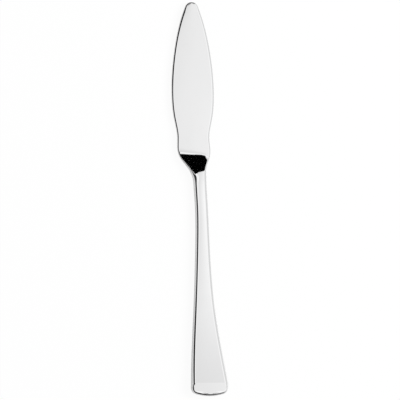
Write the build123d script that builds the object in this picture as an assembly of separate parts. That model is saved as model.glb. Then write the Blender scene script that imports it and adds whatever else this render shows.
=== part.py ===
from build123d import *
import math
import os

# Fish knife with a hollow handle, lying on its back, in millimetres.
# Y runs from the butt of the handle to the tip of the blade, X from the cutting edge to the spine,
# and Z up from the table. The origin is on the table, under the middle of the knife.
# While it is drawn, Y is measured from the butt and X from a straight line along the knife.

# Lengths along the knife
HANDLE_LENGTH = 117.0
SHOULDER_LENGTH = 9.0
BLADE_LENGTH = 79.0
BUTT_FACET_LENGTH = 6.9
SWELL_LENGTH = 55.0

# Thicknesses
BLADE_THICKNESS = 2.2
NECK_THICKNESS = 5.6
CREST_THICKNESS = 7.0
BUTT_BEVEL = 0.8
SHELL_WALL = 0.8

# Blade, seen from above: how far it stands out to each side, at distances from its root
TIP_RADIUS = 3.6
TIP_OFFSET = 4.4
TIP_TAPER_ANGLE = 22.0
TAPER_FROM_ROOT = 55.9
TAPER_EDGE = 13.1
TAPER_SPINE = 4.8
BELLY_FROM_ROOT = 34.3
BELLY_EDGE = 14.9
BELLY_SPINE = 7.3
HIP_FROM_ROOT = 18.4
HIP_EDGE = 13.6
HIP_SPINE = 6.5
WAIST_FROM_ROOT = 8.0
WAIST_EDGE = 11.9
WAIST_SPINE = 5.0
ROOT_SPINE = 5.5

# Heel, on the cutting edge's side
HEEL_CORNER_BELOW_ROOT = 0.3
HEEL_RADIUS = 12.0
NECK_CORNER_BELOW_MOUTH = 1.7
NECK_CORNER_EDGE = 3.65
NECK_CORNER_RADIUS = 15.0

# Handle, seen from above: how far it stands out to each side, at distances from its mouth or its butt
MOUTH_SPINE = 3.45
NECK_BELOW_MOUTH = 16.0
NECK_EDGE = 2.7
NECK_SPINE = 4.15
GRIP_BELOW_MOUTH = 39.0
GRIP_EDGE = 2.4
GRIP_SPINE = 5.3
FLARE_FROM_BUTT = 46.0
FLARE_EDGE = 3.3
FLARE_SPINE = 7.9
PALM_FROM_BUTT = 16.0
PALM_EDGE = 4.5
PALM_SPINE = 13.1
BUTT_EDGE = 4.6
BUTT_SPINE = 14.9
BUTT_SIDE_RADIUS = 10.0
BUTT_CROWN_RADIUS = 25.0
BUTT_CORNER_RADIUS = 3.4

# Sides, which lean in from the seam to both faces
SIDE_DRAFT_ANGLE = 20.0

# Rounding of the edges round the faces, and of the lines across them
EDGE_ROUND = 0.6
LARGEST_ROUND_SHARE = 0.45
LEAST_CORNER_RADIUS = 0.3
ROOT_HOLLOW_RADIUS = 3.0
MOUTH_CREST_RADIUS = 3.0
BUTT_CREST_RADIUS = 3.0

# Joint between blade and handle
SOLDER_GAP = 0.15
PLUG_LENGTH = 4.0
TANG_LENGTH = 50.0
TANG_WIDTH = 3.2
TANG_TIP_WIDTH = 2.2
TANG_THICKNESS = 2.2
TANG_NOTCH_RADIUS = 0.6
TANG_NOTCH_PITCH = 12.0
TANG_NOTCH_PAIRS = 3

# Places worked out from the sizes above
MOUTH_Y = HANDLE_LENGTH
ROOT_Y = MOUTH_Y + SHOULDER_LENGTH
TIP_Y = ROOT_Y + BLADE_LENGTH
NECK_Y = MOUTH_Y - NECK_BELOW_MOUTH
GRIP_Y = MOUTH_Y - GRIP_BELOW_MOUTH
CREST_Y = BUTT_FACET_LENGTH
SWELL_Y = CREST_Y + SWELL_LENGTH
PLUG_Y = MOUTH_Y - PLUG_LENGTH
TANG_TIP_Y = PLUG_Y - TANG_LENGTH
SHELL_RIM_Y = MOUTH_Y - SOLDER_GAP
SEAM_Z = NECK_THICKNESS / 2
BLADE_FRONT_Z = SEAM_Z + BLADE_THICKNESS / 2
BLADE_BACK_Z = SEAM_Z - BLADE_THICKNESS / 2
BUTT_MIDDLE_X = (BUTT_SPINE - BUTT_EDGE) / 2
ROUND = min(EDGE_ROUND, LARGEST_ROUND_SHARE * BLADE_THICKNESS)
KNIFE_WIDTH = BELLY_EDGE + BUTT_SPINE
DRAFT_HEIGHT = CREST_THICKNESS - SEAM_Z + SHELL_WALL
DRAFT_INSET = DRAFT_HEIGHT * math.tan(math.radians(SIDE_DRAFT_ANGLE))


def butt_height(x, inset):
    """Height of the butt's crowned end above its lowest point, at a place across the handle."""
    radius = BUTT_CROWN_RADIUS - inset
    return BUTT_CROWN_RADIUS - math.sqrt(radius**2 - (x - BUTT_MIDDLE_X) ** 2)


def tip_side(side, inset):
    """Where the rounded tip runs out into one side of the blade, with the direction there."""
    angle = math.radians(TIP_TAPER_ANGLE)
    radius = TIP_RADIUS - inset
    across = side * radius * math.cos(angle)
    below = TIP_RADIUS - radius * math.sin(angle)
    return (across - TIP_OFFSET, TIP_Y - below), (side * math.sin(angle), -math.cos(angle))


def outline(inset=0.0):
    """The knife seen from above, drawn in by an inset all round."""
    edge_tip, edge_tip_direction = tip_side(-1, inset)
    spine_tip, spine_tip_direction = tip_side(1, inset)
    heel_corner = (inset - WAIST_EDGE, ROOT_Y - HEEL_CORNER_BELOW_ROOT)
    neck_corner = (inset - NECK_CORNER_EDGE, MOUTH_Y - NECK_CORNER_BELOW_MOUTH)
    edge_butt = (inset - BUTT_EDGE, butt_height(inset - BUTT_EDGE, inset))
    spine_butt = (BUTT_SPINE - inset, butt_height(BUTT_SPINE - inset, inset))
    spine_side = (BUTT_SPINE - inset, CREST_Y)

    blade_edge = Spline(
        edge_tip,
        (inset - TAPER_EDGE, ROOT_Y + TAPER_FROM_ROOT),
        (inset - BELLY_EDGE, ROOT_Y + BELLY_FROM_ROOT),
        (inset - HIP_EDGE, ROOT_Y + HIP_FROM_ROOT),
        (inset - WAIST_EDGE, ROOT_Y + WAIST_FROM_ROOT),
        tangents=[edge_tip_direction, (0, -1)],
    )
    handle_edge = Spline(
        (inset - NECK_EDGE, NECK_Y),
        (inset - GRIP_EDGE, GRIP_Y),
        (inset - FLARE_EDGE, FLARE_FROM_BUTT),
        (inset - PALM_EDGE, PALM_FROM_BUTT),
        (inset - BUTT_EDGE, CREST_Y),
        tangents=[
            (NECK_CORNER_EDGE - NECK_EDGE, NECK_Y - neck_corner[1]),
            (0, -1),
        ],
    )
    blade_spine = Spline(
        spine_tip,
        (TAPER_SPINE - inset, ROOT_Y + TAPER_FROM_ROOT),
        (BELLY_SPINE - inset, ROOT_Y + BELLY_FROM_ROOT),
        (HIP_SPINE - inset, ROOT_Y + HIP_FROM_ROOT),
        (WAIST_SPINE - inset, ROOT_Y + WAIST_FROM_ROOT),
        (ROOT_SPINE - inset, ROOT_Y),
        (MOUTH_SPINE - inset, MOUTH_Y),
        tangents=[spine_tip_direction, (0, -1)],
    )
    handle_spine = Spline(
        (MOUTH_SPINE - inset, MOUTH_Y),
        (NECK_SPINE - inset, NECK_Y),
        (GRIP_SPINE - inset, GRIP_Y),
        (FLARE_SPINE - inset, FLARE_FROM_BUTT),
        (PALM_SPINE - inset, PALM_FROM_BUTT),
        tangents=[(0, -1), (BUTT_SPINE - PALM_SPINE, CREST_Y - PALM_FROM_BUTT)],
    )
    border = [
        ThreePointArc(edge_tip, (-TIP_OFFSET, TIP_Y - inset), spine_tip),
        blade_edge,
        Line(blade_edge @ 1, heel_corner),
        Line(heel_corner, neck_corner),
        Line(neck_corner, handle_edge @ 0),
        handle_edge,
        Line(handle_edge @ 1, edge_butt),
        ThreePointArc(edge_butt, (BUTT_MIDDLE_X, inset), spine_butt),
        Line(spine_butt, spine_side),
        Line(spine_side, handle_spine @ 1),
        handle_spine,
        blade_spine,
    ]
    corner_rounds = [
        (heel_corner, HEEL_RADIUS - inset),
        (neck_corner, NECK_CORNER_RADIUS + inset),
        (edge_butt, BUTT_CORNER_RADIUS - inset),
        (spine_butt, BUTT_CORNER_RADIUS - inset),
        (spine_side, BUTT_SIDE_RADIUS - inset),
    ]
    face = make_face(border)
    for place, radius in corner_rounds:
        corner = face.vertices().sort_by_distance(place)[0]
        face = fillet(corner, max(radius, LEAST_CORNER_RADIUS))
    return face


def handle_side(end_y, inset=0.0):
    """The handle seen from the side, drawn in by an inset and run on past its butt."""
    back = inset
    front = NECK_THICKNESS - inset
    crest = CREST_THICKNESS - inset
    past_butt = -CREST_Y
    swell = TangentArc((SWELL_Y, front), (CREST_Y, crest), tangent=(-1, 0))
    return make_face(
        [
            Line((end_y, front), (SWELL_Y, front)),
            swell,
            Line((CREST_Y, crest), (past_butt, crest - 2 * BUTT_BEVEL)),
            Line((past_butt, crest - 2 * BUTT_BEVEL), (past_butt, back + 2 * BUTT_BEVEL)),
            Line((past_butt, back + 2 * BUTT_BEVEL), (CREST_Y, back)),
            Line((CREST_Y, back), (end_y, back)),
            Line((end_y, back), (end_y, front)),
        ]
    )


def blade_side():
    """The blade and its ramp seen from the side, run on past the tip."""
    past_tip = TIP_Y + TIP_RADIUS
    return make_face(
        Polyline(
            (MOUTH_Y, 0),
            (ROOT_Y, BLADE_BACK_Z),
            (past_tip, BLADE_BACK_Z),
            (past_tip, BLADE_FRONT_Z),
            (ROOT_Y, BLADE_FRONT_Z),
            (MOUTH_Y, NECK_THICKNESS),
            close=True,
        )
    )


def knife_side():
    """The whole knife seen from the side, with the lines across its faces softened."""
    face = handle_side(MOUTH_Y) + blade_side()
    softened = [
        ((ROOT_Y, BLADE_FRONT_Z), ROOT_HOLLOW_RADIUS),
        ((ROOT_Y, BLADE_BACK_Z), ROOT_HOLLOW_RADIUS),
        ((MOUTH_Y, NECK_THICKNESS), MOUTH_CREST_RADIUS),
        ((MOUTH_Y, 0), MOUTH_CREST_RADIUS),
        ((CREST_Y, CREST_THICKNESS), BUTT_CREST_RADIUS),
        ((CREST_Y, 0), BUTT_CREST_RADIUS),
    ]
    for place, radius in softened:
        face = fillet(face.vertices().sort_by_distance(place)[0], radius)
    return face


def body(inset, side):
    """The solid that fills both a side view and the outline, whose sides lean in from the seam."""
    widest = Pos(0, 0, SEAM_Z) * outline(inset)
    upper = Pos(0, 0, SEAM_Z + DRAFT_HEIGHT) * outline(inset + DRAFT_INSET)
    lower = Pos(0, 0, SEAM_Z - DRAFT_HEIGHT) * outline(inset + DRAFT_INSET)
    standing = loft([widest, upper], ruled=True) + loft([lower, widest], ruled=True)
    lying = extrude(Plane.YZ.offset(-KNIFE_WIDTH) * side, amount=2 * KNIFE_WIDTH)
    return standing & lying


def between(low_y, high_y):
    """A block that takes the part of any body between two places along the knife."""
    middle = (low_y + high_y) / 2
    return Pos(0, middle, 0) * Box(2 * KNIFE_WIDTH, high_y - low_y, 4 * CREST_THICKNESS)


def layer(low_z, high_z):
    """A block that takes the part of any body between two heights."""
    middle = (low_z + high_z) / 2
    return Pos(0, 0, middle) * Box(2 * KNIFE_WIDTH, 4 * TIP_Y, high_z - low_z)


def knife_form():
    """The outer form of the whole knife, with the edges round its front and back rounded."""
    form = body(0.0, knife_side())
    rims = []
    for face in form.faces():
        if abs(face.normal_at().Z) > math.cos(math.pi / 4):
            rims += face.edges().filter_by(Axis.X, reverse=True)
    return fillet(rims, ROUND)


def handle_hollow(inset):
    """The inside of the handle, at an inset from its outer form, run on past the mouth."""
    return body(inset, handle_side(ROOT_Y, inset))


def tang_middle(y):
    """Middle of the tang, on a straight line through the middle of the handle's neck and grip."""
    neck = (NECK_SPINE - NECK_EDGE) / 2
    grip = (GRIP_SPINE - GRIP_EDGE) / 2
    return neck + (grip - neck) * (NECK_Y - y) / (NECK_Y - GRIP_Y)


def tang_half_width(y):
    """Half the width of the tapered tang at a place along it."""
    share = (MOUTH_Y - y) / (MOUTH_Y - TANG_TIP_Y)
    return (TANG_WIDTH + (TANG_TIP_WIDTH - TANG_WIDTH) * share) / 2


def tang():
    """Tapered tang, notched on both sides so that the filler locks it in the handle."""
    plan = make_face(
        Polyline(
            (tang_middle(MOUTH_Y) - tang_half_width(MOUTH_Y), MOUTH_Y),
            (tang_middle(TANG_TIP_Y) - tang_half_width(TANG_TIP_Y), TANG_TIP_Y),
            (tang_middle(TANG_TIP_Y) + tang_half_width(TANG_TIP_Y), TANG_TIP_Y),
            (tang_middle(MOUTH_Y) + tang_half_width(MOUTH_Y), MOUTH_Y),
            close=True,
        )
    )
    tip_corners = plan.vertices().group_by(Axis.Y)[0]
    plan = fillet(tip_corners, LARGEST_ROUND_SHARE * TANG_TIP_WIDTH)
    for pair in range(TANG_NOTCH_PAIRS):
        notch_y = PLUG_Y - TANG_NOTCH_PITCH * (pair + 1)
        for side in (-1, 1):
            notch_x = tang_middle(notch_y) + side * tang_half_width(notch_y)
            plan -= Pos(notch_x, notch_y) * Circle(TANG_NOTCH_RADIUS)
    return extrude(Pos(0, 0, SEAM_Z - TANG_THICKNESS / 2) * plan, amount=TANG_THICKNESS)


def mouth_plug():
    """The stub of the blade that fills the handle's mouth, with room for solder round it."""
    return handle_hollow(SHELL_WALL + SOLDER_GAP) & between(PLUG_Y, MOUTH_Y)


def blade(form):
    """Blade, heel and ramp in one forging with the plug and the tang."""
    return (form & between(MOUTH_Y, 2 * TIP_Y)) + mouth_plug() + tang()


def handle_shell(form, hollow):
    """Both pressed halves of the handle as one skin, up to the rim at its mouth."""
    return (form & between(-CREST_Y, SHELL_RIM_Y)) - hollow


def mouth_solder(form, hollow):
    """Solder round the plug, and between the handle's rim and the blade's seat."""
    plug = mouth_plug()
    seat = (form & between(MOUTH_Y, ROOT_Y)).faces().sort_by(Axis.Y)[0]
    washer = extrude(seat, amount=SOLDER_GAP, dir=(0, -1, 0)) - plug
    sleeve = (hollow & between(PLUG_Y, SHELL_RIM_Y)) - plug
    return sleeve + washer


def handle_filler(hollow):
    """Set cement that fills the handle round the tang, up to the end of the plug."""
    return (hollow & between(-CREST_Y, PLUG_Y)) - tang()


def knife_pieces(form):
    """Every piece of the knife by name, in its place."""
    hollow = handle_hollow(SHELL_WALL)
    shell = handle_shell(form, hollow)
    seam_back = SEAM_Z - SOLDER_GAP / 2
    seam_front = SEAM_Z + SOLDER_GAP / 2
    return {
        "blade": blade(form),
        "handle_front_shell": shell & layer(seam_front, 2 * CREST_THICKNESS),
        "handle_back_shell": shell & layer(-CREST_THICKNESS, seam_back),
        "side_seam_solder": shell & layer(seam_back, seam_front),
        "mouth_solder": mouth_solder(form, hollow),
        "handle_filler": handle_filler(hollow),
    }


def main():
    os.makedirs("parts", exist_ok=True)
    form = knife_form()
    footprint = form.bounding_box().center()
    to_origin = Pos(-footprint.X, -footprint.Y, 0)
    for name, piece in knife_pieces(form).items():
        export_step(to_origin * piece, f"parts/{name}.step")


if __name__ == "__main__":
    main()
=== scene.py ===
"""Polished fish knife with a hollow handle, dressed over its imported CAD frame."""

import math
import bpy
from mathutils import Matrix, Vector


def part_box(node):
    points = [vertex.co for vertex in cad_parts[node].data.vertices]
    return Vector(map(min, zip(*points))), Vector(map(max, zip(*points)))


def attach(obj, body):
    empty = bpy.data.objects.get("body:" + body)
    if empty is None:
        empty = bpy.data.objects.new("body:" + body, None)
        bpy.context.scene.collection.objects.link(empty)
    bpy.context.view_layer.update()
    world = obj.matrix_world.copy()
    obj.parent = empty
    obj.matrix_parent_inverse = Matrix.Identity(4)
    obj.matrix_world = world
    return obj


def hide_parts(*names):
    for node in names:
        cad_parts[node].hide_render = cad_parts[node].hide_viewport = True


bl_info = {
    "name": "Fish knife",
    "version": (1, 0, 0),
    "blender": (4, 5, 0),
    "location": "View3D > Sidebar > Fish knife",
    "description": "Builds a polished fish knife over its CAD frame, with its stage",
    "category": "Add Mesh",
}

import bpy
import numpy as np
from mathutils import Vector

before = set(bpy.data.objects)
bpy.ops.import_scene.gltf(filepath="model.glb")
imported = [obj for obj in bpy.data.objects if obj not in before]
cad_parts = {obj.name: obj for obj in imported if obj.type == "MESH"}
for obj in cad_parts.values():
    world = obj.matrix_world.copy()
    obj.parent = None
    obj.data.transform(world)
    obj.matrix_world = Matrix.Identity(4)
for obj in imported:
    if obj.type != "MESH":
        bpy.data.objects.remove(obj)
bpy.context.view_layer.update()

# Setting out in millimetres: X across the knife, Y from the butt of the handle to the tip of the blade.
MM = 0.001
KNIFE_LENGTH = 205.0
MOUTH_Y = 117.0
ROOT_Y = 126.0
CREST_Y = 6.9
SWELL_Y = 61.9
TIP_MIDDLE = (-4.4, 201.4)
TIP_RADIUS = 3.6
TIP_TAPER = math.radians(22.0)
EDGE_BLADE = [(-13.1, 181.9), (-14.9, 160.3), (-13.6, 144.4), (-11.9, 134.0)]
HEEL_CORNER = (-11.9, 125.7)
HEEL_RADIUS = 12.0
NECK_CORNER = (-3.65, 115.3)
NECK_CORNER_RADIUS = 15.0
EDGE_HANDLE = [(-2.7, 101.0), (-2.4, 78.0), (-3.3, 46.0), (-4.5, 16.0), (-4.6, CREST_Y)]
SPINE_BLADE = [(4.8, 181.9), (7.3, 160.3), (6.5, 144.4), (5.0, 134.0), (5.5, ROOT_Y), (3.45, MOUTH_Y)]
SPINE_HANDLE = [(3.45, MOUTH_Y), (4.15, 101.0), (5.3, 78.0), (7.9, 46.0), (13.1, 16.0)]
SPINE_BUTT_CORNER = (14.9, CREST_Y)
SPINE_BUTT_RADIUS = 10.0
CROWN_RADIUS = 25.0
BUTT_CORNER_RADIUS = 3.4
TANG_TIP_Y = 63.0
TANG_WIDTHS = (3.2, 2.2)
TANG_NOTCHES = (101.0, 89.0, 77.0)
TANG_NOTCH_RADIUS = 0.6
RAMP_MIDDLE = (MOUTH_Y + ROOT_Y) / 2

# Bends of the side view in millimetres, beside the places above
MOUTH_DROP = 0.4
ROOT_DROP = 0.15
ROLL_LENGTH = 14.0
SWEEP_START, SWEEP_END = 1.7, 4.2
RUN_OUT_START, RUN_OUT_LENGTH = -1.7, 0.8
MOUTH_SOFTNESS, ROOT_SOFTNESS, CREST_SOFTNESS = 0.03, 0.35, 0.04

# Shares along the knife, as (distance from the butt, share)
HANDLE_ROUNDS = [(0.0, 0.9), (3.0, 0.75), (5.4, 0.65), (6.4, 1.0), (MOUTH_Y, 1.0)]
BLADE_ROUNDS = [(ROOT_Y, 0.75), (146.0, 1.05), (180.0, 1.1), (TIP_MIDDLE[1] - 1, 1.0), (KNIFE_LENGTH, 0.45)]
UPRIGHT_EDGE = [(0.0, 0.75), (4.8, 0.75), (5.1, 0.7), (6.1, 0.3), (6.4, 0.25), (90.0, 0.25), (114.0, 0.0)]

# Stretches where the rounds change, as (middle, reach, power of the fall)
SPINE_BY_RAMP = (RAMP_MIDDLE, 4.5, 6)
EDGE_BY_RAMP = (RAMP_MIDDLE - 1.2, 5.4, 6)
UNDER_HEEL = (NECK_CORNER[1] - 1.6, 1.8, 2)
SPINE_THINNING, EDGE_THINNING = 0.3, 0.7

# Heights and gaps that the frame gives, in metres
SEAM_LOW, SEAM_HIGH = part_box("side_seam_solder")
MOUTH_LOW, MOUTH_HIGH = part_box("mouth_solder")
SEAM_HEIGHT = (SEAM_LOW.z + SEAM_HIGH.z) / 2
SEAM_GAP = SEAM_HIGH.z - SEAM_LOW.z
PLUG_Y = MOUTH_Y - (MOUTH_HIGH.y - MOUTH_LOW.y) / MM
RIM_Y = MOUTH_Y - SEAM_GAP / MM

LINE_POINTS = 4800
BLADE_ROWS = 240
HANDLE_ROWS = 400
ARC_STEPS = 14
WALL_STEPS = (0.0, 0.1, 0.5, 0.9)
FACE_STEPS = (0.02, 0.07, 0.15, 0.27, 0.4, 0.5, 0.6, 0.73, 0.85, 0.93, 0.98)
ROW_BENDS = [(MOUTH_Y, 1.6), (ROOT_Y, 2.5), (CREST_Y, 0.5), (0.0, 0.1)]
BEND_WEIGHT = 10
LEAST_STEP = 1e-9
MERGE_DISTANCE = 1e-6
SHARP_ANGLE = math.radians(50)
NO_LIMIT = 1.0

# Marks in the metal and grains in the cement: noise scales to a metre, and the noise that shows as a mark
HAIR_SCALE, HAIR_DETAIL = (5200.0, 55.0, 5200.0), 3.0
SCRATCH_SCALE, SCRATCH_DETAIL, SCRATCH_TURN = (900.0, 7000.0, 900.0), 2.0, 0.35
SCRATCH_RANGE, SCRATCH_DULLNESS, SCRATCH_HEIGHT = (0.66, 0.74), 0.02, -0.3
SMUDGE_SCALE, SMUDGE_DETAIL = (70.0, 45.0, 70.0), 4.0
SMUDGE_RANGE, SMUDGE_SHADE = (0.42, 0.72), -0.015
MARK_DEPTH = 0.000004
CLOUD_SCALE, CLOUD_DETAIL = 380.0, 6.0
GRIT_SCALE, GRIT_DEPTH = 2600.0, 0.0001

# The studio as the metal mirrors it. Places are slopes away from the ray that a level face sends back:
# across the knife, along it towards the tip, or off in any direction. A ramp is (from, to, level, level),
# and a band is (from, to, softness).
CEILING_TO_TIP = (0.0, 0.095, 1.02, 0.88)
CEILING_TO_BUTT = (-0.2, -0.05, -0.05, 0.0)
CEILING_TILT = 0.8
CEILING_END = (0.33, 0.42)
SIDE_WALLS = (-0.4, 0.75, 0.03, 0.85)
BUTT_WALLS = (-0.05, 0.85, 0.02, 0.85)
BUTT_WALLS_REACH = (-0.3, 0.0, 1.0, 0.0)
FAR_WALL_LEVEL, FAR_WALL_ALONG, FAR_WALL_SIDE = 0.8, (0.75, 0.95), (-0.45, 0.0)
HORIZON_LEVEL, HORIZON_SHARE = 0.65, (0.95, 2.5, 0.0, 0.7)
STRIP_LEVEL = 1.16
EDGE_STRIP_OFF, EDGE_STRIP_SIDE = (0.14, 0.35, 0.02), (0.6, 0.8)
BUTT_STRIP = ((-0.5, -0.32, 0.02), (-0.25, 0.6, 0.08))
TIP_STRIP = ((0.15, 0.195, 0.01), (-0.3, 0.3, 0.05))
TIP_CARD, TIP_CARD_SIDE = ((0.205, 0.85, 0.01), (-0.4, 0.65, 0.05)), (0.62, 0.7, 1.0, 0.0)
NECK_CARD = ((0.085, 0.3, 0.015), (-4.0, -0.1, 0.03))
LEAST_RISE = 0.01
LEAST_OFF = 0.0001

# The stage, in metres
FLOOR_REACH = 4.0
FLOOR_GAP = 0.00005
FLOOR_SHINE, FLOOR_SHINE_IN_METAL = 0.93, 0.3
LAMP_SIZE = 0.8
LAMP_PLACE = (0.9, 0.2, 1.1)
CAMERA_AIM = (0.0001, -0.00046)


class KnifeShape(bpy.types.PropertyGroup):
    """Sizes of the knife's section."""

    blade_thickness: bpy.props.FloatProperty(
        name="Blade thickness", description="Thickness of the flat blade", default=0.0022, unit="LENGTH"
    )
    neck_thickness: bpy.props.FloatProperty(
        name="Neck thickness", description="Thickness of the handle at its neck",
        default=0.0056, unit="LENGTH",
    )
    crest_thickness: bpy.props.FloatProperty(
        name="Crest thickness", description="Thickness of the handle at the line across its butt",
        default=0.007, unit="LENGTH",
    )
    butt_bevel: bpy.props.FloatProperty(
        name="Butt bevel", description="How far the butt's facet drops to its end",
        default=0.0008, unit="LENGTH",
    )
    shell_wall: bpy.props.FloatProperty(
        name="Shell wall", description="Wall of the handle's pressed halves", default=0.0008, unit="LENGTH"
    )
    side_lean: bpy.props.FloatProperty(
        name="Side lean", description="How far the long sides lean in from the seam",
        default=math.radians(13), subtype="ANGLE",
    )
    end_lean: bpy.props.FloatProperty(
        name="End lean", description="How far the tip and the butt lean in from the seam",
        default=math.radians(3), subtype="ANGLE",
    )
    blade_round: bpy.props.FloatProperty(
        name="Blade round", description="Width of the rounded edges of the blade",
        default=0.00115, unit="LENGTH",
    )
    handle_round: bpy.props.FloatProperty(
        name="Handle round", description="Width of the rounded edges of the handle",
        default=0.0015, unit="LENGTH",
    )
    neck_round: bpy.props.FloatProperty(
        name="Neck round", description="Extra width of the rounded edge under the heel",
        default=0.0008, unit="LENGTH",
    )
    round_depth: bpy.props.FloatProperty(
        name="Round depth", description="Depth of the rounded edges as a share of their width", default=0.45
    )
    face_crown: bpy.props.FloatProperty(
        name="Face crown", description="How far the faces fall from their middle to their sides",
        default=0.00006, unit="LENGTH",
    )
    mouth_skew: bpy.props.FloatProperty(
        name="Mouth skew", description="Slope of the line across the handle's mouth", default=0.27
    )
    mouth_run_out: bpy.props.FloatProperty(
        name="Mouth run-out", description="How fast the mouth's line runs down along the edge's side",
        default=1000.0,
    )
    mouth_roll: bpy.props.FloatProperty(
        name="Mouth roll", description="How far the handle's faces roll off towards the mouth",
        default=0.00018, unit="LENGTH",
    )
    root_skew: bpy.props.FloatProperty(
        name="Root skew", description="Slope of the line across the blade's root", default=-0.13
    )
    root_sweep: bpy.props.FloatProperty(
        name="Root sweep", description="How fast the root's line bends down beside the spine", default=300.0
    )


class KnifeFinish(bpy.types.PropertyGroup):
    """Colours and polish of the knife's materials."""

    steel_colour: bpy.props.FloatVectorProperty(
        name="Steel colour", description="Colour of the polished steel", default=(0.83, 0.83, 0.832),
        subtype="COLOR", min=0.0, max=1.0,
    )
    solder_colour: bpy.props.FloatVectorProperty(
        name="Solder colour", description="Colour of the soldered joints", default=(0.68, 0.68, 0.67),
        subtype="COLOR", min=0.0, max=1.0,
    )
    cement_colour: bpy.props.FloatVectorProperty(
        name="Cement colour", description="Colour of the filler in the handle", default=(0.50, 0.46, 0.40),
        subtype="COLOR", min=0.0, max=1.0,
    )
    polish: bpy.props.FloatProperty(
        name="Polish", description="Roughness of the polished steel", default=0.035, min=0.0, max=1.0
    )
    hairlines: bpy.props.FloatProperty(
        name="Hairlines", description="Strength of the fine polishing lines", default=0.04, min=0.0, max=1.0
    )


class KnifeStage(bpy.types.PropertyGroup):
    """Floor, light and camera."""

    floor_colour: bpy.props.FloatVectorProperty(
        name="Floor colour", description="Colour of the floor", default=(0.95, 0.95, 0.95),
        subtype="COLOR", min=0.0, max=1.0,
    )
    sky_level: bpy.props.FloatProperty(
        name="Sky level", description="Light on the floor from all round", default=0.55
    )
    lamp_power: bpy.props.FloatProperty(
        name="Lamp power", description="Power of the soft lamp", default=14.0, unit="POWER"
    )
    camera_distance: bpy.props.FloatProperty(
        name="Camera distance", description="Distance from the camera to the knife",
        default=3.0, unit="LENGTH",
    )
    camera_lean: bpy.props.FloatProperty(
        name="Camera lean", description="How far the camera stands over to the cutting edge's side",
        default=math.radians(7), subtype="ANGLE",
    )
    view_width: bpy.props.FloatProperty(
        name="View width", description="Width of the view at the seam", default=0.208, unit="LENGTH"
    )


class Net:
    """Short calls that add nodes to a tree and join them."""

    def __init__(self, tree):
        self.tree = tree

    def join(self, value, socket):
        if isinstance(value, bpy.types.NodeSocket):
            self.tree.links.new(value, socket)
        else:
            socket.default_value = value

    def add(self, kind, inputs=None, **settings):
        node = self.tree.nodes.new(kind)
        for name, value in settings.items():
            setattr(node, name, value)
        for key, value in (inputs or {}).items():
            self.join(value, node.inputs[key])
        return node

    def calc(self, operation, *values):
        node = self.add("ShaderNodeMath", dict(enumerate(values)), operation=operation)
        return node.outputs[0]

    def scale(self, vector, size):
        node = self.add("ShaderNodeVectorMath", {0: vector, "Scale": size}, operation="SCALE")
        return node.outputs[0]

    def mix(self, start, end, share):
        return self.calc("MULTIPLY_ADD", share, self.calc("SUBTRACT", end, start), start)

    def ramp(self, value, low, high, start=0.0, end=1.0):
        node = self.add(
            "ShaderNodeMapRange",
            {0: value, 1: low, 2: high, 3: start, 4: end},
            interpolation_type="SMOOTHSTEP",
        )
        return node.outputs[0]

    def band(self, value, low, high, soft):
        enter = self.ramp(value, low - soft, low + soft)
        leave = self.ramp(value, high - soft, high + soft, 1.0, 0.0)
        return self.calc("MULTIPLY", enter, leave)


def unit(vector):
    """A direction of length one."""
    vector = np.array(vector, float)
    return vector / np.linalg.norm(vector)


def curve_through(points, start, end, steps=160):
    """The smooth curve through points, with its directions at both ends."""
    points = np.array(points, float)
    count = len(points)
    spans = np.linalg.norm(np.diff(points, axis=0), axis=1)
    matrix = np.eye(count)
    pull = np.zeros((count, 2))
    pull[0], pull[-1] = unit(start), unit(end)
    for i in range(1, count - 1):
        before, after = spans[i - 1], spans[i]
        matrix[i, i - 1 : i + 2] = after, 2 * (before + after), before
        rise = after / before * (points[i] - points[i - 1]) + before / after * (points[i + 1] - points[i])
        pull[i] = 3 * rise
    slopes = np.linalg.solve(matrix, pull)
    t = np.linspace(0, 1, steps)[:, None]
    runs = []
    for i, span in enumerate(spans):
        runs.append(
            (2 * t**3 - 3 * t**2 + 1) * points[i]
            + (t**3 - 2 * t**2 + t) * span * slopes[i]
            + (3 * t**2 - 2 * t**3) * points[i + 1]
            + (t**3 - t**2) * span * slopes[i + 1]
        )
    return np.vstack(runs)


def arc(middle, radius, start, end, steps=160):
    """Points on a circle's arc between two angles."""
    angles = np.linspace(start, end, steps)
    return np.array(middle) + radius * np.column_stack([np.cos(angles), np.sin(angles)])


def rounded_corner(before, corner, after, radius):
    """The arc that rounds a corner between two straight runs."""
    back, forward = unit(np.subtract(before, corner)), unit(np.subtract(after, corner))
    half = math.acos(np.clip(back @ forward, -1, 1)) / 2
    middle = np.array(corner) + unit(back + forward) * radius / math.sin(half)
    touch = [np.array(corner) + way * radius / math.tan(half) - middle for way in (back, forward)]
    start, end = (math.atan2(place[1], place[0]) for place in touch)
    end = start + (end - start + math.pi) % (2 * math.pi) - math.pi
    return arc(middle, radius, start, end)


def butt_run(side_x, turn):
    """The rounded corner of the butt and its crown, down to the middle of the butt."""
    crown_x = (EDGE_HANDLE[-1][0] + SPINE_BUTT_CORNER[0]) / 2
    middle_x = side_x - turn * BUTT_CORNER_RADIUS
    reach = CROWN_RADIUS - BUTT_CORNER_RADIUS
    middle_y = CROWN_RADIUS - math.sqrt(reach**2 - (middle_x - crown_x) ** 2)
    meet = math.atan2(middle_y - CROWN_RADIUS, middle_x - crown_x) % (2 * math.pi)
    side = 2 * math.pi if turn > 0 else math.pi
    corner = arc((middle_x, middle_y), BUTT_CORNER_RADIUS, side, meet)
    crown = arc((crown_x, CROWN_RADIUS), CROWN_RADIUS, meet, 1.5 * math.pi)
    return np.vstack([corner, crown])


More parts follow.
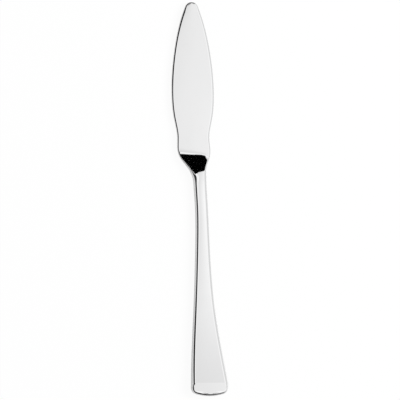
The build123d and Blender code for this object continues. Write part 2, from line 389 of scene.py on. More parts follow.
def side_line(runs, turn):
    """One side of the outline from tip to butt, with the direction into the knife at each point."""
    points = np.vstack(runs)
    steps = np.linalg.norm(np.diff(points, axis=0), axis=1)
    points = points[np.r_[True, steps > LEAST_STEP]]
    length = np.r_[0, np.cumsum(np.linalg.norm(np.diff(points, axis=0), axis=1))]
    even = np.linspace(0, length[-1], LINE_POINTS)
    points = np.column_stack([np.interp(even, length, points[:, i]) for i in (0, 1)])
    ahead = np.gradient(points, axis=0)
    inward = turn * np.column_stack([ahead[:, 1], -ahead[:, 0]])
    inward /= np.linalg.norm(inward, axis=1)[:, None]
    inward[0], inward[-1] = (0, -1), (0, 1)
    return {"points": points, "inward": inward, "length": even}


def outline():
    """Both sides of the knife seen from above."""
    edge_tip = arc(TIP_MIDDLE, TIP_RADIUS, math.pi / 2, math.pi - TIP_TAPER)
    spine_tip = arc(TIP_MIDDLE, TIP_RADIUS, math.pi / 2, TIP_TAPER)
    run_out = np.array([math.sin(TIP_TAPER), -math.cos(TIP_TAPER)])
    edge = side_line(
        [
            edge_tip,
            curve_through([edge_tip[-1], *EDGE_BLADE], run_out * (-1, 1), (0, -1)),
            rounded_corner(EDGE_BLADE[-1], HEEL_CORNER, NECK_CORNER, HEEL_RADIUS),
            rounded_corner(HEEL_CORNER, NECK_CORNER, EDGE_HANDLE[0], NECK_CORNER_RADIUS),
            curve_through(EDGE_HANDLE, np.subtract(EDGE_HANDLE[0], NECK_CORNER), (0, -1)),
            butt_run(EDGE_HANDLE[-1][0], -1),
        ],
        -1,
    )
    butt_side = (SPINE_BUTT_CORNER[0], 0)
    to_butt = np.subtract(SPINE_BUTT_CORNER, SPINE_HANDLE[-1])
    spine = side_line(
        [
            spine_tip,
            curve_through([spine_tip[-1], *SPINE_BLADE], run_out, (0, -1)),
            curve_through(SPINE_HANDLE, (0, -1), to_butt),
            rounded_corner(SPINE_HANDLE[-1], SPINE_BUTT_CORNER, butt_side, SPINE_BUTT_RADIUS),
            butt_run(SPINE_BUTT_CORNER[0], 1),
        ],
        1,
    )
    return edge, spine


def at_height(line, key, heights):
    """A side's points, directions or lengths at given distances from the butt."""
    rising = line["points"][::-1, 1]
    values = line[key][::-1]
    if values.ndim == 1:
        return np.interp(heights, rising, values)
    return np.column_stack([np.interp(heights, rising, values[:, i]) for i in (0, 1)])


def row_heights(sides, high, low, count):
    """Places of the rows, closer where a side turns and where a face bends."""
    heights = np.unique(np.concatenate([side["points"][:, 1] for side in sides] + [[high, low]]))
    heights = heights[(heights >= low) & (heights <= high)]
    pace = sum(at_height(side, "length", heights) for side in sides)
    for place, spread in ROW_BENDS:
        pace = pace - BEND_WEIGHT * np.arctan((heights - place) / spread)
    targets = np.linspace(pace[-1], pace[0], count)
    found = np.interp(targets, pace[::-1], heights[::-1])
    found[0], found[-1] = high, low
    return found


def lean_of(inward, shape, share=1.0):
    """Lean of a side, from the long sides' lean to the ends' lean as it turns to the tip or the butt."""
    along = share * np.abs(inward[:, 0])
    return math.tan(shape.end_lean) + along * (math.tan(shape.side_lean) - math.tan(shape.end_lean))


def shares_at(heights, table):
    """Values at given distances from the butt, between those of a table."""
    places, shares = zip(*table)
    return np.interp(heights, places, shares)


def stretch_at(heights, middle, reach, power):
    """A share that is 1 in the middle of a stretch and falls to 0 past its reach."""
    return np.exp(-(((heights - middle) / reach) ** power))


def skin_rows(sides, heights, shape, sunk=0.0):
    """Rows of the knife's skin, or of a skin sunk under it: a point on each side and the way in."""
    edge, spine = sides
    heights = np.array(heights, float)
    count = len(heights)
    rounds = [(place, share * shape.handle_round) for place, share in HANDLE_ROUNDS]
    rounds += [(place, share * shape.blade_round) for place, share in BLADE_ROUNDS]
    rounding = shares_at(heights, rounds)
    edge_kept = 1 - EDGE_THINNING * stretch_at(heights, *EDGE_BY_RAMP)
    spine_kept = 1 - SPINE_THINNING * stretch_at(heights, *SPINE_BY_RAMP)
    heel_round = shape.neck_round * stretch_at(heights, *UNDER_HEEL)
    rows = {
        "edge": at_height(edge, "points", heights),
        "edge_in": at_height(edge, "inward", heights),
        "spine": at_height(spine, "points", heights),
        "spine_in": at_height(spine, "inward", heights),
        "limit": np.full(count, NO_LIMIT),
        "edge_round": rounding * edge_kept + heel_round,
        "spine_round": rounding * spine_kept,
        "sunk": np.full(count, sunk),
        "closing": np.zeros(count),
    }
    rows["edge_lean"] = lean_of(rows["edge_in"], shape, 1 - shares_at(heights, UPRIGHT_EDGE))
    rows["spine_lean"] = lean_of(rows["spine_in"], shape)
    if sunk:
        rows["edge_round"][:] = rows["spine_round"][:] = shape.shell_wall / 4
    return rows


def join_rows(*parts):
    """Rows one after another."""
    return {key: np.concatenate([part[key] for part in parts]) for key in parts[0]}


def tang_rows(sides, shape):
    """Rows of the blade's plug and notched tang, inside the handle."""
    plug = skin_rows(sides, [MOUTH_Y, PLUG_Y], shape, shape.shell_wall + SEAM_GAP)
    around = TANG_NOTCH_RADIUS * np.sin(np.linspace(-math.pi / 2, math.pi / 2, 9))
    tip_round = TANG_WIDTHS[1] / 2 * (1 - np.cos(np.linspace(0, math.pi / 2, 7)))
    notches = [place + around for place in TANG_NOTCHES]
    heights = np.sort(np.concatenate([[PLUG_Y], *notches, TANG_TIP_Y + tip_round]))[::-1]
    share = (MOUTH_Y - heights) / (MOUTH_Y - TANG_TIP_Y)
    half = (TANG_WIDTHS[0] + (TANG_WIDTHS[1] - TANG_WIDTHS[0]) * share) / 2
    for place in TANG_NOTCHES:
        half -= np.sqrt(np.clip(TANG_NOTCH_RADIUS**2 - (heights - place) ** 2, 0, None))
    tip_rise = np.clip(1 - 2 * (heights - TANG_TIP_Y) / TANG_WIDTHS[1], 0, 1)
    half *= np.sqrt(1 - tip_rise**2)
    neck_middle = (EDGE_HANDLE[0][0] + SPINE_HANDLE[1][0]) / 2
    grip_middle = (EDGE_HANDLE[1][0] + SPINE_HANDLE[2][0]) / 2
    along = (EDGE_HANDLE[0][1] - heights) / (EDGE_HANDLE[0][1] - EDGE_HANDLE[1][1])
    middle = neck_middle + (grip_middle - neck_middle) * along
    count = len(heights)
    tang = {key: np.zeros(count) for key in plug}
    tang |= {
        "edge": np.column_stack([middle - half, heights]),
        "edge_in": np.tile((1.0, 0.0), (count, 1)),
        "spine": np.column_stack([middle + half, heights]),
        "spine_in": np.tile((-1.0, 0.0), (count, 1)),
        "limit": np.full(count, shape.blade_thickness / 2),
    }
    return join_rows(plug, tang)


def solder_rows(sides, shape):
    """Rows of the solder sleeve round the plug, and of its rim between handle and blade."""
    inner = shape.shell_wall + SEAM_GAP
    return join_rows(
        skin_rows(sides, [PLUG_Y, MOUTH_Y], shape, inner),
        skin_rows(sides, [MOUTH_Y, RIM_Y], shape),
        skin_rows(sides, [RIM_Y, PLUG_Y], shape, shape.shell_wall),
        skin_rows(sides, [PLUG_Y], shape, inner),
    )


def half_section(face, depth):
    """Columns over one face, from the seam on the edge's side to the seam on the spine's side."""
    turns = [step / ARC_STEPS for step in range(ARC_STEPS + 1)]
    rise = [(wall, 0.0) for wall in WALL_STEPS] + [(1.0, turn) for turn in turns]
    if depth:
        rise = [(wall, 1.0) for wall in (*WALL_STEPS, 1.0)]
    columns = [(0.0, wall, turn) for wall, turn in rise]
    columns += [(across, 1.0, 1.0) for across in FACE_STEPS]
    columns += [(1.0, wall, turn) for wall, turn in reversed(rise)]
    return [(across, wall, turn, face, depth) for across, wall, turn in columns]


def ring_section():
    """Columns all round the knife."""
    front = half_section(1.0, 0.0)
    back = half_section(-1.0, 0.0)
    return front + back[-2:0:-1]


def shell_section(face):
    """Columns over the outside of a handle half and back along its inside."""
    return half_section(face, 0.0) + half_section(face, 1.0)[::-1]


def guide(name, points, values):
    """A hidden mesh of loose points that carries a table into a node tree."""
    mesh = bpy.data.meshes.new(name)
    mesh.from_pydata([tuple(point) for point in points], [], [])
    for key, column in values.items():
        column = np.asarray(column, np.float32)
        kind, field = ("FLOAT", "value") if column.ndim == 1 else ("FLOAT_VECTOR", "vector")
        attribute = mesh.attributes.new(key, kind, "POINT")
        attribute.data.foreach_set(field, column.ravel())
    made = bpy.data.objects.new(name, mesh)
    bpy.context.scene.collection.objects.link(made)
    return made


ROW_VALUES = ("limit", "edge_round", "spine_round", "edge_lean", "spine_lean", "sunk", "closing")


def row_guide(rows):
    """The rows as points in the frame, in metres."""
    level = np.zeros((len(rows["edge"]), 1))
    middle = np.array([0.0, KNIFE_LENGTH / 2])
    values = {
        "spine": np.hstack([(rows["spine"] - middle) * MM, level]),
        "edge_in": np.hstack([rows["edge_in"], level]),
        "spine_in": np.hstack([rows["spine_in"], level]),
    }
    values |= {key: rows[key] for key in ROW_VALUES}
    return guide("knife_rows", np.hstack([(rows["edge"] - middle) * MM, level]), values)


COLUMN_VALUES = ("across", "wall", "turn", "face", "depth")


def column_guide(columns):
    """The columns of a section as points."""
    table = np.array(columns)
    return guide("knife_columns", np.zeros((len(columns), 3)), dict(zip(COLUMN_VALUES, table.T)))


SIDE_SIZES = (
    "Mouth", "Root", "Crest", "Swell", "Neck height", "Blade height", "Swell rise", "Bevel slope",
    "Mouth skew", "Mouth end", "Mouth roll", "Roll length", "Root skew", "Root sweep", "Sweep start",
    "Sweep end", "Run-out", "Run-out start", "Run-out length", "Mouth softness", "Root softness",
    "Crest softness",
)


def side_view_group():
    """Height of either face over the seam, from the knife's side view, at any place in plan."""
    tree = bpy.data.node_groups.new("Knife side view", "GeometryNodeTree")
    tree.interface.new_socket("Height", in_out="OUTPUT", socket_type="NodeSocketFloat")
    tree.interface.new_socket("Place", in_out="INPUT", socket_type="NodeSocketVector")
    tree.interface.new_socket("Face", in_out="INPUT", socket_type="NodeSocketFloat")
    for name in SIDE_SIZES:
        tree.interface.new_socket(name, in_out="INPUT", socket_type="NodeSocketFloat")
    net = Net(tree)
    given = net.add("NodeGroupInput").outputs
    place = net.add("ShaderNodeSeparateXYZ", {0: given["Place"]}).outputs
    front = net.calc("MULTIPLY_ADD", given["Face"], 0.5, 0.5)
    rise = net.calc("MULTIPLY", given["Swell rise"], front)

    def square_past(value, start):
        past = net.calc("MAXIMUM", net.calc("SUBTRACT", value, start), 0.0)
        return net.calc("MULTIPLY", past, past)

    def bent(value, start, length):
        return net.calc("DIVIDE", square_past(value, start), net.calc("POWER", length, 2.0))

    swell_length = net.calc("SUBTRACT", given["Swell"], given["Crest"])
    swell_share = bent(given["Swell"], place[1], swell_length)
    swell = net.calc("MULTIPLY_ADD", rise, swell_share, given["Neck height"])

    past_crest = net.calc("SUBTRACT", place[1], given["Crest"])
    crest = net.calc("ADD", given["Neck height"], rise)
    bevel = net.calc("MULTIPLY_ADD", past_crest, given["Bevel slope"], crest)

    beside = net.calc("MINIMUM", place[0], given["Sweep end"])
    mouth_place = net.calc("MAXIMUM", beside, given["Mouth end"])
    mouth = net.calc("MULTIPLY_ADD", mouth_place, given["Mouth skew"], given["Mouth"])
    root = net.calc("MULTIPLY_ADD", beside, given["Root skew"], given["Root"])
    swept = net.calc("MULTIPLY", square_past(beside, given["Sweep start"]), given["Root sweep"])
    root = net.calc("SUBTRACT", root, swept)
    run_out = net.calc("MULTIPLY", square_past(given["Run-out start"], mouth_place), given["Run-out"])
    run_out = net.calc("MINIMUM", run_out, given["Run-out length"])
    mouth = net.calc("SUBTRACT", net.calc("ADD", mouth, swept), run_out)
    down = net.calc("DIVIDE", net.calc("SUBTRACT", place[1], mouth), net.calc("SUBTRACT", root, mouth))
    lip = net.calc("SUBTRACT", given["Neck height"], given["Mouth roll"])
    ramp = net.mix(lip, given["Blade height"], down)
    roll_start = net.calc("SUBTRACT", mouth, given["Roll length"])
    rolled = net.calc("MULTIPLY", given["Mouth roll"], bent(place[1], roll_start, given["Roll length"]))

    handle = net.calc("SUBTRACT", net.calc("SMOOTH_MIN", swell, bevel, given["Crest softness"]), rolled)
    handle = net.calc("SMOOTH_MIN", handle, ramp, given["Mouth softness"])
    height = net.calc("SMOOTH_MAX", handle, given["Blade height"], given["Root softness"])
    net.add("NodeGroupOutput", {"Height": height})
    return tree


def knife_form_group(side_view):
    """Lofts a piece of the knife through rows along it and columns round its section."""
    tree = bpy.data.node_groups.new("Knife form", "GeometryNodeTree")
    tree.interface.new_socket("Geometry", in_out="OUTPUT", socket_type="NodeSocketGeometry")
    tree.interface.new_socket("Rows", in_out="INPUT", socket_type="NodeSocketObject")
    tree.interface.new_socket("Columns", in_out="INPUT", socket_type="NodeSocketObject")
    tree.interface.new_socket("Material", in_out="INPUT", socket_type="NodeSocketMaterial")
    for name in ("Seam height", "Seam gap", "Wall", "Round depth", "Face crown", *SIDE_SIZES):
        tree.interface.new_socket(name, in_out="INPUT", socket_type="NodeSocketFloat")
    tree.interface.new_socket("Turn over", in_out="INPUT", socket_type="NodeSocketBool")
    net = Net(tree)
    given = net.add("NodeGroupInput").outputs
    rows = net.add("GeometryNodeObjectInfo", {"Object": given["Rows"]}).outputs["Geometry"]
    columns = net.add("GeometryNodeObjectInfo", {"Object": given["Columns"]}).outputs["Geometry"]
    row_count = net.add("GeometryNodeAttributeDomainSize", {0: rows}).outputs["Point Count"]
    column_count = net.add("GeometryNodeAttributeDomainSize", {0: columns}).outputs["Point Count"]
    ring = net.calc("ADD", column_count, 1.0)
    grid = net.add("GeometryNodeMeshGrid", {"Vertices X": row_count, "Vertices Y": ring}).outputs["Mesh"]
    index = net.add("GeometryNodeInputIndex").outputs[0]
    row = net.calc("FLOOR", net.calc("DIVIDE", net.calc("ADD", index, 0.5), ring))
    ring_place = net.calc("SUBTRACT", index, net.calc("MULTIPLY", row, ring))
    column = net.calc("FLOORED_MODULO", ring_place, column_count)

    def read(geometry, name, place, kind="FLOAT"):
        named = net.add("GeometryNodeInputNamedAttribute", {"Name": name}, data_type=kind)
        inputs = {0: geometry, 1: named.outputs[0], 2: place}
        return net.add("GeometryNodeSampleIndex", inputs, data_type=kind).outputs[0]

    def height_at(place):
        node = net.add("GeometryNodeGroup", node_tree=side_view)
        net.join(place, node.inputs["Place"])
        net.join(face, node.inputs["Face"])
        for name in SIDE_SIZES:
            net.join(given[name], node.inputs[name])
        return net.calc("MINIMUM", net.calc("SUBTRACT", node.outputs["Height"], fall), limit)

    def between(start, end):
        return net.add("ShaderNodeMix", {0: across, 4: start, 5: end}, data_type="VECTOR").outputs[1]

    edge, spine, edge_in, spine_in = (
        read(rows, name, row, "FLOAT_VECTOR") for name in ("position", "spine", "edge_in", "spine_in")
    )
    limit, edge_round, spine_round, edge_lean, spine_lean, sunk, closing = (
        read(rows, name, row) for name in ROW_VALUES
    )
    across, wall, turn, face, depth = (read(columns, name, column) for name in COLUMN_VALUES)

    off_middle = net.calc("MULTIPLY_ADD", across, 2.0, -1.0)
    fall = net.calc("MULTIPLY", net.calc("MULTIPLY", off_middle, off_middle), given["Face crown"])
    lean = net.mix(edge_lean, spine_lean, across)
    width = net.calc("MULTIPLY", net.mix(edge_round, spine_round, across), net.calc("SUBTRACT", 1.0, depth))
    drop = net.calc("MULTIPLY", width, given["Round depth"])
    start = net.calc("ARCTANGENT", net.calc("MULTIPLY", lean, given["Round depth"]))
    angle = net.mix(start, math.pi / 2, turn)
    drop_lean = net.calc("MULTIPLY", drop, lean)
    squares = net.calc("MULTIPLY_ADD", width, width, net.calc("MULTIPLY", drop_lean, drop_lean))
    turned = net.calc("MULTIPLY", width, net.calc("COSINE", angle))
    reach = net.calc("SUBTRACT", net.calc("SQRT", squares), turned)

    halfway = net.calc("MULTIPLY", given["Wall"], 0.5)
    skin_depth = net.mix(net.calc("MULTIPLY_ADD", depth, given["Wall"], sunk), halfway, closing)
    rise = net.calc("SUBTRACT", net.calc("SUBTRACT", height_at(between(edge, spine)), skin_depth), drop)
    inset = net.calc("ADD", net.calc("MULTIPLY_ADD", rise, lean, skin_depth), reach)
    inset = net.mix(skin_depth, inset, wall)

    def drawn_in(point, way):
        return net.add("ShaderNodeVectorMath", {0: point, 1: net.scale(way, inset)}).outputs[0]

    plan = between(drawn_in(edge, edge_in), drawn_in(spine, spine_in))
    top = net.calc("SUBTRACT", height_at(plan), skin_depth)
    top = net.calc("MULTIPLY_ADD", drop, net.calc("SUBTRACT", net.calc("SINE", angle), 1.0), top)
    half_gap = net.calc("MULTIPLY", given["Seam gap"], 0.5)
    off_seam = net.mix(half_gap, top, wall)
    height = net.calc("MULTIPLY_ADD", off_seam, face, given["Seam height"])
    plan_parts = net.add("ShaderNodeSeparateXYZ", {0: plan}).outputs
    row_line = net.add("ShaderNodeSeparateXYZ", {0: edge}).outputs[1]
    is_sunk = net.calc("GREATER_THAN", sunk, 0.0)
    along = net.mix(plan_parts[1], row_line, is_sunk)
    place = net.add("ShaderNodeCombineXYZ", {0: plan_parts[0], 1: along, 2: height}).outputs[0]

    skin = net.add("GeometryNodeSetPosition", {"Geometry": grid, "Position": place}).outputs[0]
    skin = net.add("GeometryNodeMergeByDistance", {"Geometry": skin, "Distance": MERGE_DISTANCE}).outputs[0]
    skin = net.add("GeometryNodeFlipFaces", {"Mesh": skin, "Selection": given["Turn over"]}).outputs[0]
    skin = net.add("GeometryNodeSetShadeSmooth", {0: skin, "Shade Smooth": True}, domain="FACE").outputs[0]
    bend = net.add("GeometryNodeInputMeshEdgeAngle").outputs["Unsigned Angle"]
    sharp = net.calc("GREATER_THAN", bend, SHARP_ANGLE)
    skin = net.add(
        "GeometryNodeSetShadeSmooth", {0: skin, "Selection": sharp, "Shade Smooth": False}, domain="EDGE"
    ).outputs[0]
    skin = net.add("GeometryNodeRealizeInstances", {0: skin}).outputs[0]
    skin = net.add("GeometryNodeSetMaterial", {"Geometry": skin, "Material": given["Material"]}).outputs[0]
    net.add("NodeGroupOutput", {0: skin})
    return tree


def in_frame(height):
    """A distance from the butt as a place in the frame, in metres."""
    return (height - KNIFE_LENGTH / 2) * MM


def form_sizes(shape):
    """The values of the form's named inputs."""
    return {
        "Seam height": SEAM_HEIGHT,
        "Seam gap": SEAM_GAP,
        "Wall": shape.shell_wall,
        "Round depth": shape.round_depth,
        "Face crown": shape.face_crown,
        "Mouth": in_frame(MOUTH_Y - MOUTH_DROP),
        "Root": in_frame(ROOT_Y - ROOT_DROP),
        "Crest": in_frame(CREST_Y),
        "Swell": in_frame(SWELL_Y),
        "Neck height": shape.neck_thickness / 2,
        "Blade height": shape.blade_thickness / 2,
        "Swell rise": shape.crest_thickness - shape.neck_thickness,
        "Bevel slope": shape.butt_bevel / (CREST_Y * MM),
        "Mouth skew": shape.mouth_skew,
        "Mouth end": NECK_CORNER[0] * MM,
        "Mouth roll": shape.mouth_roll,
        "Roll length": ROLL_LENGTH * MM,
        "Root skew": shape.root_skew,
        "Root sweep": shape.root_sweep,
        "Sweep start": SWEEP_START * MM,
        "Sweep end": SWEEP_END * MM,
        "Run-out": shape.mouth_run_out,
        "Run-out start": RUN_OUT_START * MM,
        "Run-out length": RUN_OUT_LENGTH * MM,
        "Mouth softness": MOUTH_SOFTNESS * MM,
        "Root softness": ROOT_SOFTNESS * MM,
        "Crest softness": CREST_SOFTNESS * MM,
    }


def made_tree(name, make):
    """A node group by name, made once."""
    return bpy.data.node_groups.get(name) or make()


def loft(name, rows, columns, sizes, material, turn_over=False):
    """A finished plain mesh of the form through these rows and columns."""
    side_view = made_tree("Knife side view", side_view_group)
    form = made_tree("Knife form", lambda: knife_form_group(side_view))
    guides = [row_guide(rows), column_guide(columns)]
    carrier = bpy.data.objects.new(name + "_carrier", bpy.data.meshes.new(name + "_carrier"))
    bpy.context.scene.collection.objects.link(carrier)
    modifier = carrier.modifiers.new("Form", "NODES")
    modifier.node_group = form
    identifiers = {
        item.name: item.identifier for item in form.interface.items_tree if item.in_out == "INPUT"
    }
    values = {"Rows": guides[0], "Columns": guides[1], "Material": material, "Turn over": turn_over}
    for key, value in {**values, **sizes}.items():
        modifier[identifiers[key]] = value
    depsgraph = bpy.context.evaluated_depsgraph_get()
    depsgraph.update()
    mesh = bpy.data.meshes.new_from_object(carrier.evaluated_get(depsgraph), depsgraph=depsgraph)
    mesh.name = name
    if not mesh.polygons:
        raise RuntimeError(name + " came out empty")
    carrier.modifiers.remove(modifier)
    for helper in (carrier, *guides):
        data = helper.data
        bpy.data.objects.remove(helper)
        bpy.data.meshes.remove(data)
    piece = bpy.data.objects.new(name, mesh)
    bpy.context.scene.collection.objects.link(piece)
    return piece


def place_piece(piece, node):
    """Lets a finished piece stand for its CAD node."""
    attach(piece, "root")
    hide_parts(node)


def metal_marks_group():
    """Fine marks of metal: long hairlines, short handling scratches and a faint unevenness."""
    tree = bpy.data.node_groups.new("Metal marks", "ShaderNodeTree")
    tree.interface.new_socket("Place", in_out="INPUT", socket_type="NodeSocketVector")
    for name in ("Polish", "Hairlines", "Smudges"):
        tree.interface.new_socket(name, in_out="INPUT", socket_type="NodeSocketFloat")
    tree.interface.new_socket("Tone", in_out="INPUT", socket_type="NodeSocketColor")
    tree.interface.new_socket("Colour", in_out="OUTPUT", socket_type="NodeSocketColor")
    tree.interface.new_socket("Roughness", in_out="OUTPUT", socket_type="NodeSocketFloat")
    tree.interface.new_socket("Height", in_out="OUTPUT", socket_type="NodeSocketFloat")
    net = Net(tree)
    given = net.add("NodeGroupInput").outputs

    def noise(scale, detail, turn=0.0):
        placing = {"Vector": given["Place"], "Scale": scale, "Rotation": (0, 0, turn)}
        mapped = net.add("ShaderNodeMapping", placing).outputs[0]
        node = net.add("ShaderNodeTexNoise", {"Vector": mapped, "Scale": 1.0, "Detail": detail})
        return node.outputs["Fac"]

    hairs = noise(HAIR_SCALE, HAIR_DETAIL)
    scratch = net.ramp(noise(SCRATCH_SCALE, SCRATCH_DETAIL, SCRATCH_TURN), *SCRATCH_RANGE)
    smudge = net.ramp(noise(SMUDGE_SCALE, SMUDGE_DETAIL), *SMUDGE_RANGE)
    marks = net.calc("MULTIPLY", net.calc("SUBTRACT", hairs, 0.5), given["Hairlines"])
    dull = net.calc("MULTIPLY", smudge, given["Smudges"])
    rough = net.calc("ADD", net.calc("ADD", given["Polish"], marks), dull)
    rough = net.calc("MULTIPLY_ADD", scratch, SCRATCH_DULLNESS, rough)
    colour = net.scale(given["Tone"], net.calc("MULTIPLY_ADD", smudge, SMUDGE_SHADE, 1.0))
    height = net.calc("MULTIPLY_ADD", scratch, SCRATCH_HEIGHT, hairs)
    net.add("NodeGroupOutput", {"Colour": colour, "Roughness": rough, "Height": height})
    return tree


def new_material(name):
    """An empty material with its surface shader, nodes and object coordinates."""
    material = bpy.data.materials.new(name)
    material.use_nodes = True
    net = Net(material.node_tree)
    surface = material.node_tree.nodes["Principled BSDF"]
    place = net.add("ShaderNodeTexCoord").outputs["Object"]
    return material, net, surface.inputs, place


def metal(name, tone, polish, hairlines, smudges, bump):
    """A bare metal with fine marks on it."""
    material, net, surface, place = new_material(name)
    marks = net.add("ShaderNodeGroup", node_tree=made_tree("Metal marks", metal_marks_group))
    settings = {"Polish": polish, "Hairlines": hairlines, "Smudges": smudges, "Tone": (*tone, 1.0)}
    for key, value in {"Place": place, **settings}.items():
        net.join(value, marks.inputs[key])
    relief = {"Strength": bump, "Distance": MARK_DEPTH, "Height": marks.outputs["Height"]}
    surface["Metallic"].default_value = 1.0
    net.join(marks.outputs["Colour"], surface["Base Color"])
    net.join(marks.outputs["Roughness"], surface["Roughness"])
    net.join(net.add("ShaderNodeBump", relief).outputs[0], surface["Normal"])
    return material


def cement(name, tone):
    """Set cement with fine sand in it."""
    material, net, surface, place = new_material(name)
    clouding = {"Vector": place, "Scale": CLOUD_SCALE, "Detail": CLOUD_DETAIL}
    cloud = net.add("ShaderNodeTexNoise", clouding).outputs["Fac"]
    grit = net.add("ShaderNodeTexVoronoi", {"Vector": place, "Scale": GRIT_SCALE}).outputs["Distance"]
    shade = net.calc("MULTIPLY_ADD", cloud, 0.5, net.calc("MULTIPLY_ADD", grit, 0.4, 0.55))
    relief = {"Strength": 0.5, "Distance": GRIT_DEPTH, "Height": grit}
    net.join(net.scale(tuple(tone), shade), surface["Base Color"])
    net.join(net.calc("MULTIPLY_ADD", cloud, 0.2, 0.75), surface["Roughness"])
    net.join(net.add("ShaderNodeBump", relief).outputs[0], surface["Normal"])
    return material


def finishes(scene):
    """The knife's materials by finish, made once."""
    finish = scene.knife_finish
    if "knife_steel" not in bpy.data.materials:
        steel = {"polish": finish.polish, "hairlines": finish.hairlines, "smudges": 0.02, "bump": 0.02}
        solder = {"polish": 0.09, "hairlines": 0.06, "smudges": 0.04, "bump": 0.05}
        metal("knife_steel", finish.steel_colour, **steel)
        metal("knife_solder", finish.solder_colour, **solder)
        cement("knife_cement", finish.cement_colour)
    return {name: bpy.data.materials["knife_" + name] for name in ("steel", "solder", "cement")}


def dress(node, material):
    """Gives a CAD node that stays in view its material."""
    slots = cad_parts[node].material_slots
    if not slots:
        raise RuntimeError(node + " has no material slot")
    for place in slots:
        place.material = material


class FISHKNIFE_OT_blade(bpy.types.Operator):
    """Forged blade with its heel, ramp, plug and tang."""

    bl_idname = "fishknife.blade"
    bl_label = "Blade"

    def execute(self, context):
        shape = context.scene.knife_shape
        sides = outline()
        heights = row_heights(sides, KNIFE_LENGTH, MOUTH_Y, BLADE_ROWS)
        rows = join_rows(skin_rows(sides, heights, shape), tang_rows(sides, shape))
        sizes = form_sizes(shape) | {"Seam gap": 0.0}
        piece = loft("forged_blade", rows, ring_section(), sizes, finishes(context.scene)["steel"])
        place_piece(piece, "blade")
        return {"FINISHED"}


class FISHKNIFE_OT_shells(bpy.types.Operator):
    """Front and back halves of the hollow handle."""

    bl_idname = "fishknife.shells"
    bl_label = "Handle shells"

    def execute(self, context):
        shape = context.scene.knife_shape
        sides = outline()
        skin = skin_rows(sides, row_heights(sides, RIM_Y, 0.0, HANDLE_ROWS), shape)
        rim = skin_rows(sides, [RIM_Y], shape)
        rim["closing"][:] = 1.0
        rim["edge_round"][:] = rim["spine_round"][:] = 0.0
        rows = join_rows(rim, skin)
        steel = finishes(context.scene)["steel"]
        for side, face in (("front", 1.0), ("back", -1.0)):
            columns = shell_section(face)
            piece = loft(side + "_shell", rows, columns, form_sizes(shape), steel, face < 0)
            place_piece(piece, f"handle_{side}_shell")
        return {"FINISHED"}


class FISHKNIFE_OT_joints(bpy.types.Operator):
    """Soldered joints of the handle and the cement inside it."""

    bl_idname = "fishknife.joints"
    bl_label = "Solder and cement"

    def execute(self, context):
        shape = context.scene.knife_shape
        made = finishes(context.scene)
        sizes = form_sizes(shape) | {"Seam gap": 0.0}
        piece = loft("mouth_ring", solder_rows(outline(), shape), ring_section(), sizes, made["solder"])
        place_piece(piece, "mouth_solder")
        dress("side_seam_solder", made["solder"])
        dress("handle_filler", made["cement"])
        return {"FINISHED"}


def floor_material(colour):
    """Pale floor that looks nearly white to the camera, less so in the metal, and keeps a soft shadow."""
    material = bpy.data.materials.new("pale_floor")
    material.use_nodes = True
    tree = material.node_tree
    tree.nodes.clear()
    net = Net(tree)
    path = net.add("ShaderNodeLightPath").outputs
    seen = net.calc("MAXIMUM", path["Is Camera Ray"], path["Is Transmission Ray"])
    mirrored = net.calc("MULTIPLY", path["Is Glossy Ray"], FLOOR_SHINE_IN_METAL)
    share = net.calc("MULTIPLY_ADD", seen, FLOOR_SHINE, mirrored)
    matt = net.add("ShaderNodeBsdfDiffuse", {"Color": (*colour, 1.0)}).outputs[0]
    white = net.add("ShaderNodeEmission", {"Color": (1.0, 1.0, 1.0, 1.0), "Strength": 1.0}).outputs[0]
    mixed = net.add("ShaderNodeMixShader", {0: share, 1: matt, 2: white}).outputs[0]
    net.add("ShaderNodeOutputMaterial", {"Surface": mixed})
    return material


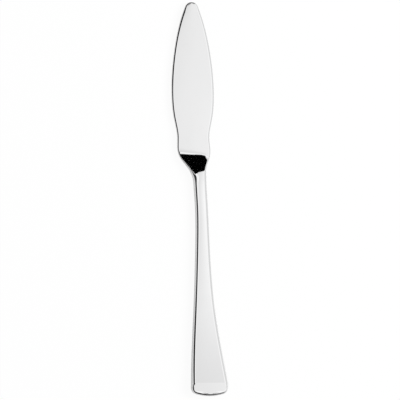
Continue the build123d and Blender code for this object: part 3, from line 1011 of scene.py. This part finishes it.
def studio_world(scene, stage):
    """White studio with darker walls to one side, bright strips and dark cards, seen only in the metal."""
    world = bpy.data.worlds.new("studio")
    scene.world = world
    world.use_nodes = True
    tree = world.node_tree
    tree.nodes.clear()
    net = Net(tree)
    path = net.add("ShaderNodeLightPath").outputs
    way = net.add("ShaderNodeSeparateXYZ", {0: net.add("ShaderNodeTexCoord").outputs["Generated"]}).outputs
    upward = net.calc("MAXIMUM", way[2], LEAST_RISE)
    across = net.calc("SUBTRACT", net.calc("DIVIDE", way[0], upward), math.tan(stage.camera_lean))
    along = net.calc("DIVIDE", way[1], upward)
    off = net.calc("SQRT", net.calc("MULTIPLY_ADD", across, across, net.calc("MULTIPLY", along, along)))
    off = net.calc("MAXIMUM", off, LEAST_OFF)
    side = net.calc("DIVIDE", across, off)

    def patch(along_band, across_band):
        return net.calc("MULTIPLY", net.band(along, *along_band), net.band(across, *across_band))

    ceiling = net.calc("ADD", net.ramp(along, *CEILING_TO_TIP), net.ramp(along, *CEILING_TO_BUTT))
    ceiling = net.calc("MULTIPLY_ADD", across, CEILING_TILT, ceiling)
    before_butt = net.ramp(along, *BUTT_WALLS_REACH)
    walls = net.mix(net.ramp(side, *SIDE_WALLS), net.ramp(side, *BUTT_WALLS), before_butt)
    far_wall = net.calc("MULTIPLY", net.ramp(along, *FAR_WALL_ALONG), net.ramp(side, *FAR_WALL_SIDE))
    walls = net.mix(walls, FAR_WALL_LEVEL, far_wall)
    walls = net.mix(walls, HORIZON_LEVEL, net.ramp(off, *HORIZON_SHARE))
    level = net.mix(ceiling, walls, net.ramp(off, *CEILING_END))

    beside = net.ramp(net.calc("ABSOLUTE", side), *EDGE_STRIP_SIDE)
    edge_strip = net.calc("MULTIPLY", net.band(off, *EDGE_STRIP_OFF), beside)
    for strip in (edge_strip, patch(*BUTT_STRIP), patch(*TIP_STRIP)):
        level = net.mix(level, STRIP_LEVEL, strip)
    tip_card = net.calc("MULTIPLY", patch(*TIP_CARD), net.ramp(side, *TIP_CARD_SIDE))
    for card in (tip_card, patch(*NECK_CARD)):
        level = net.calc("MULTIPLY", level, net.calc("SUBTRACT", 1.0, card))

    level = net.mix(stage.sky_level, level, path["Is Glossy Ray"])
    level = net.mix(level, 1.0, path["Is Camera Ray"])
    sky = net.add("ShaderNodeBackground", {"Color": (1.0, 1.0, 1.0, 1.0), "Strength": level}).outputs[0]
    net.add("ShaderNodeOutputWorld", {"Surface": sky})


class FISHKNIFE_OT_stage(bpy.types.Operator):
    """Pale floor, soft studio light and the camera over the knife."""

    bl_idname = "fishknife.stage"
    bl_label = "Stage"

    def execute(self, context):
        scene = context.scene
        stage = scene.knife_stage
        scene.view_settings.view_transform = "Standard"
        mesh = bpy.data.meshes.new("floor")
        corners = [(FLOOR_REACH * x, FLOOR_REACH * y, 0) for x, y in ((-1, -1), (1, -1), (1, 1), (-1, 1))]
        mesh.from_pydata(corners, [], [(0, 1, 2, 3)])
        mesh.materials.append(floor_material(stage.floor_colour))
        floor = bpy.data.objects.new("floor", mesh)
        floor.location.z = -FLOOR_GAP
        scene.collection.objects.link(floor)
        studio_world(scene, stage)

        lamp_data = bpy.data.lights.new("soft_lamp", "AREA")
        lamp_data.energy = stage.lamp_power
        lamp_data.size = LAMP_SIZE
        lamp = bpy.data.objects.new("soft_lamp", lamp_data)
        lamp.location = LAMP_PLACE
        lamp.rotation_euler = (-lamp.location).to_track_quat("-Z", "Y").to_euler()
        lamp.visible_glossy = False
        scene.collection.objects.link(lamp)

        camera_data = bpy.data.cameras.new("over_the_knife")
        camera_data.lens = camera_data.sensor_width * stage.camera_distance / stage.view_width
        camera_data.clip_end = 10 * stage.camera_distance
        camera = bpy.data.objects.new("over_the_knife", camera_data)
        lean = stage.camera_lean
        aim = Vector((*CAMERA_AIM, SEAM_HEIGHT))
        camera.location = aim + stage.camera_distance * Vector((-math.sin(lean), 0, math.cos(lean)))
        camera.rotation_euler = (0, -lean, 0)
        scene.collection.objects.link(camera)
        scene.camera = camera
        return {"FINISHED"}


class FISHKNIFE_PT_panel(bpy.types.Panel):
    """Lists the knife's sizes, finishes and steps."""

    bl_idname = "FISHKNIFE_PT_panel"
    bl_label = "Fish knife"
    bl_space_type = "VIEW_3D"
    bl_region_type = "UI"
    bl_category = "Fish knife"

    def draw(self, context):
        for group in GROUPS:
            settings = getattr(context.scene, group)
            for name in settings.__annotations__:
                self.layout.prop(settings, name)
        for step in STEPS:
            self.layout.operator(step.bl_idname)


GROUPS = {"knife_shape": KnifeShape, "knife_finish": KnifeFinish, "knife_stage": KnifeStage}
STEPS = (FISHKNIFE_OT_blade, FISHKNIFE_OT_shells, FISHKNIFE_OT_joints, FISHKNIFE_OT_stage)


def register():
    for known in (*GROUPS.values(), *STEPS, FISHKNIFE_PT_panel):
        bpy.utils.register_class(known)
    for name, group in GROUPS.items():
        setattr(bpy.types.Scene, name, bpy.props.PointerProperty(type=group))


def unregister():
    for name in GROUPS:
        delattr(bpy.types.Scene, name)
    for known in reversed((*GROUPS.values(), *STEPS, FISHKNIFE_PT_panel)):
        bpy.utils.unregister_class(known)


def main():
    register()
    bpy.ops.fishknife.blade()
    bpy.ops.fishknife.shells()
    bpy.ops.fishknife.joints()
    bpy.ops.fishknife.stage()


if __name__ == "__main__":
    main()
